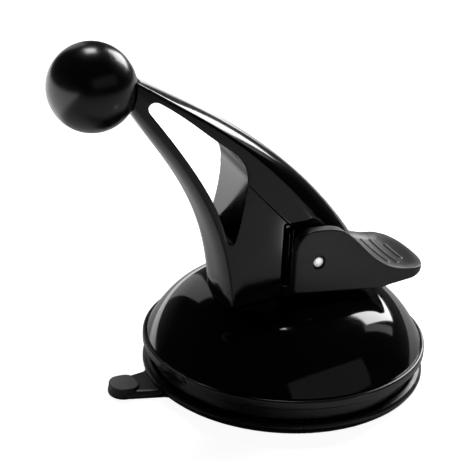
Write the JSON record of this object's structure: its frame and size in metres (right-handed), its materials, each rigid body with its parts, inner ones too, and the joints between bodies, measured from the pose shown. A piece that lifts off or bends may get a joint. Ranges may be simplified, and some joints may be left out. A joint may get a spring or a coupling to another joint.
{
  "type": "car phone mount suction base",
  "caption": "Suction base of a car phone mount: gloss black domed cup with a windowed arm, a ball stud and a locking lever.",
  "frame": {"origin": "centre of the suction face, on the dome's axis, at the level of the glass", "axes": "+Z away from the glass along the dome's axis, +X from the ball end towards the lever end, Y across the arm"},
  "size_m": [0.0806, 0.059, 0.0744],
  "materials": {
    "gloss_black": "high gloss moulded",
    "frame_black": "semi gloss moulded",
    "lever_grey": "satin moulded with fine grain",
    "ball_black": "satin moulded",
    "cup_rubber": "soft semi gloss",
    "pin_steel": "bright turned",
    "screw_steel": "zinc plated",
    "spring_steel": "drawn wire",
    "bush_nylon": "natural nylon"
  },
  "bodies": {
    "root": {"suction_cup": "cup_rubber", "cup_diaphragm": "cup_rubber", "return_spring": "spring_steel", "stem_bush": "bush_nylon", "base_frame": "frame_black", "dome_cover": "gloss_black", "dome_screws": "screw_steel", "foot_screws": "screw_steel", "arm": "gloss_black", "ball": "ball_black"},
    "stem": {"pull_stem": "pin_steel", "anchor_plate": "screw_steel", "spring_washer": "screw_steel", "lift_bar": "screw_steel", "bar_washer": "screw_steel", "bar_screw": "screw_steel"},
    "lever": {"lever": "lever_grey", "lever_pin": "pin_steel", "pin_washers": "bush_nylon", "lift_cams": "bush_nylon"}
  },
  "joints": [
    {"name": "lever_hinge", "type": "hinge", "parent": "root", "child": "lever", "pos_m": [0.002, 0, 0.0281], "axis": [0, -1, 0], "range_deg": [0, 60]},
    {"name": "stem_slide", "type": "slide", "parent": "root", "child": "stem", "axis": [0, 0, -1], "range_m": [0, 0.00209], "deforming": ["return_spring", "cup_diaphragm"]}
  ],
  "couplings": [
    {"joint": "lever_hinge", "follows": "stem_slide", "rad_per_m": 500}
  ]
}
